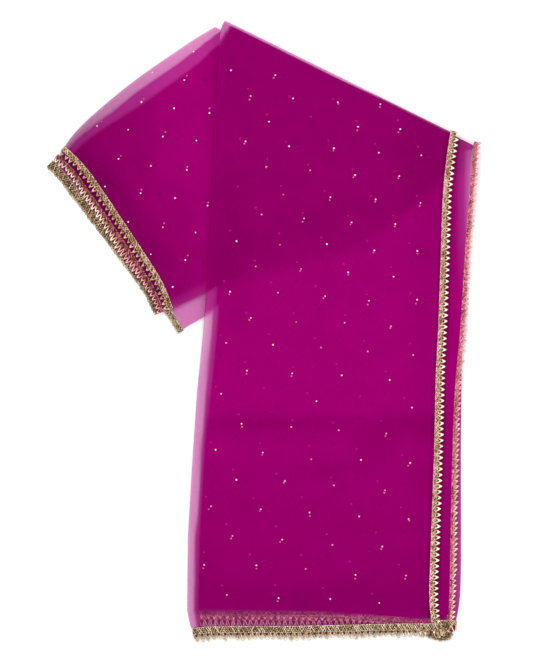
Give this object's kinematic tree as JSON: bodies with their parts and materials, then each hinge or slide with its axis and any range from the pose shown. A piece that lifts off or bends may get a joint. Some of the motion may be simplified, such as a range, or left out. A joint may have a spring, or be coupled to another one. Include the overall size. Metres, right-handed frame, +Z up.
{
  "type": "dupatta stole",
  "caption": "Sheer net dupatta stole with looped gold lace on its edges, folded into a flat strip and turned over once on a slant.",
  "frame": {"origin": "centre of the bounding box's base, on the surface that the folded cloth lies on", "axes": "+X to the right across the front limb, +Y along the front limb towards the slanting turn, +Z up, away from the surface"},
  "size_m": [0.3842, 0.5544, 0.01],
  "materials": {
    "net_cloth": "sheer net with a soft sheen and scattered foil dots",
    "gold_lace": "metallic gold thread, braided band with looped points"
  },
  "bodies": {
    "root": {"front_top_layer": "net_cloth", "front_second_layer": "net_cloth", "front_core": "net_cloth", "slanting_turn": "net_cloth", "rear_top_layer": "net_cloth", "rear_core": "net_cloth", "rear_under_layer": "net_cloth", "rear_lower_fold": "net_cloth", "long_edge_lace_top": "gold_lace", "long_edge_lace_second": "gold_lace", "end_lace_front_top": "gold_lace", "end_lace_front_second": "gold_lace", "end_lace_front_under": "gold_lace", "end_lace_rear_top": "gold_lace", "end_lace_rear_second": "gold_lace", "end_lace_rear_under": "gold_lace", "end_lace_lower_fold": "gold_lace"}
  },
  "joints": []
}
